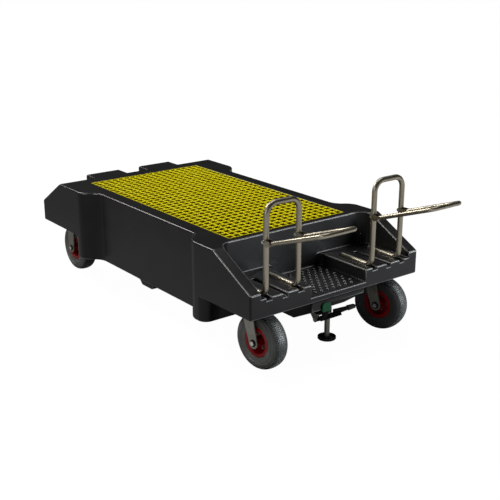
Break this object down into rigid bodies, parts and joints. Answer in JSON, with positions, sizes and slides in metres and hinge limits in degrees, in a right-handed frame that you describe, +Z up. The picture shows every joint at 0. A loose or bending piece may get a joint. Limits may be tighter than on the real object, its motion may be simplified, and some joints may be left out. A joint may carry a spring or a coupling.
{
  "type": "waste oil trolley",
  "caption": "Low wheeled waste oil trolley: a black moulded tank under a yellow mesh grating, with a stepped front deck, hoop handles, pull bars and a foot-worked floor lock.",
  "frame": {"origin": "on the floor, under the middle of the whole trolley's box", "axes": "+X towards the front deck and pull bars, +Y to the trolley's left, +Z up"},
  "size_m": [2.2309, 0.99, 0.7725],
  "materials": {
    "moulded_body": "satin rotomoulded polyethylene",
    "mesh": "yellow glass-reinforced mesh",
    "black_plastic": "satin black",
    "rim_red": "gloss red enamel",
    "tyre": "dark grey rubber",
    "zinc": "bright zinc plate",
    "stainless": "polished stainless tube",
    "black_steel": "black enamelled steel",
    "lever_green": "green enamel",
    "rubber": "matt black rubber"
  },
  "bodies": {
    "chassis": {"tank_body": "moulded_body", "grating": "mesh", "drain_plug": "black_plastic", "lock_bracket": "zinc", "lock_bolts": "zinc", "lock_pivot_pin": "zinc", "front_right_castor_bolts": "zinc", "front_left_castor_bolts": "zinc", "rear_right_castor_bolts": "zinc", "rear_left_castor_bolts": "zinc", "front_right_swivel_plate": "zinc", "front_right_kingpin": "zinc", "front_left_swivel_plate": "zinc", "front_left_kingpin": "zinc", "rear_right_bracket": "zinc", "rear_right_axle": "zinc", "rear_right_spacers": "zinc", "rear_left_bracket": "zinc", "rear_left_axle": "zinc", "rear_left_spacers": "zinc", "right_hoop_handle": "stainless", "right_pivot_bolts": "zinc", "right_foot_screws": "zinc", "right_foot_caps": "black_plastic", "left_hoop_handle": "stainless", "left_pivot_bolts": "zinc", "left_foot_screws": "zinc", "left_foot_caps": "black_plastic"},
    "front_right_swivel": {"front_right_fork": "zinc", "front_right_axle": "zinc", "front_right_spacers": "zinc"},
    "front_left_swivel": {"front_left_fork": "zinc", "front_left_axle": "zinc", "front_left_spacers": "zinc"},
    "right_bar": {"right_pull_bar": "stainless"},
    "left_bar": {"left_pull_bar": "stainless"},
    "front_right_wheel": {"front_right_rim": "rim_red", "front_right_tyre": "tyre"},
    "front_left_wheel": {"front_left_rim": "rim_red", "front_left_tyre": "tyre"},
    "rear_right_wheel": {"rear_right_rim": "rim_red", "rear_right_tyre": "tyre"},
    "rear_left_wheel": {"rear_left_rim": "rim_red", "rear_left_tyre": "tyre"},
    "lock_pedal": {"lock_lever": "black_steel", "lock_toe_plate": "lever_green", "lock_treadle": "black_steel", "treadle_sleeve": "rubber"},
    "lock_foot": {"lock_stem": "stainless", "lock_pad": "rubber"}
  },
  "joints": [
    {"name": "front_right_swivel_turn", "type": "hinge", "parent": "chassis", "child": "front_right_swivel", "pos_m": [0.64055, -0.358, 0.28], "axis": [0, 0, 1], "continuous": true},
    {"name": "front_left_swivel_turn", "type": "hinge", "parent": "chassis", "child": "front_left_swivel", "pos_m": [0.64055, 0.358, 0.28], "axis": [0, 0, 1], "continuous": true},
    {"name": "front_right_wheel_roll", "type": "hinge", "parent": "front_right_swivel", "child": "front_right_wheel", "pos_m": [0.68532, -0.35353, 0.13], "axis": [-0.0993, 0.9951, 0], "continuous": true},
    {"name": "front_left_wheel_roll", "type": "hinge", "parent": "front_left_swivel", "child": "front_left_wheel", "pos_m": [0.68367, 0.37086, 0.13], "axis": [-0.2857, 0.9583, 0], "continuous": true},
    {"name": "rear_right_wheel_roll", "type": "hinge", "parent": "chassis", "child": "rear_right_wheel", "pos_m": [-0.96745, -0.358, 0.13], "axis": [0, 1, 0], "continuous": true},
    {"name": "rear_left_wheel_roll", "type": "hinge", "parent": "chassis", "child": "rear_left_wheel", "pos_m": [-0.96745, 0.358, 0.13], "axis": [0, 1, 0], "continuous": true},
    {"name": "right_bar_lift", "type": "hinge", "parent": "chassis", "child": "right_bar", "pos_m": [0.75955, -0.307, 0.602], "axis": [0, -1, 0], "range_deg": [0, 45]},
    {"name": "left_bar_lift", "type": "hinge", "parent": "chassis", "child": "left_bar", "pos_m": [0.75955, 0.307, 0.602], "axis": [0, -1, 0], "range_deg": [0, 45]},
    {"name": "pedal_press", "type": "hinge", "parent": "chassis", "child": "lock_pedal", "pos_m": [0.66255, 0, 0.133], "axis": [0, 1, 0], "range_deg": [0, 54.04]},
    {"name": "foot_drop", "type": "slide", "parent": "chassis", "child": "lock_foot", "axis": [0, 0, -1], "range_m": [0, 0.051]}
  ],
  "couplings": [
    {"joint": "foot_drop", "follows": "pedal_press", "m_per_rad": 0.05407}
  ]
}
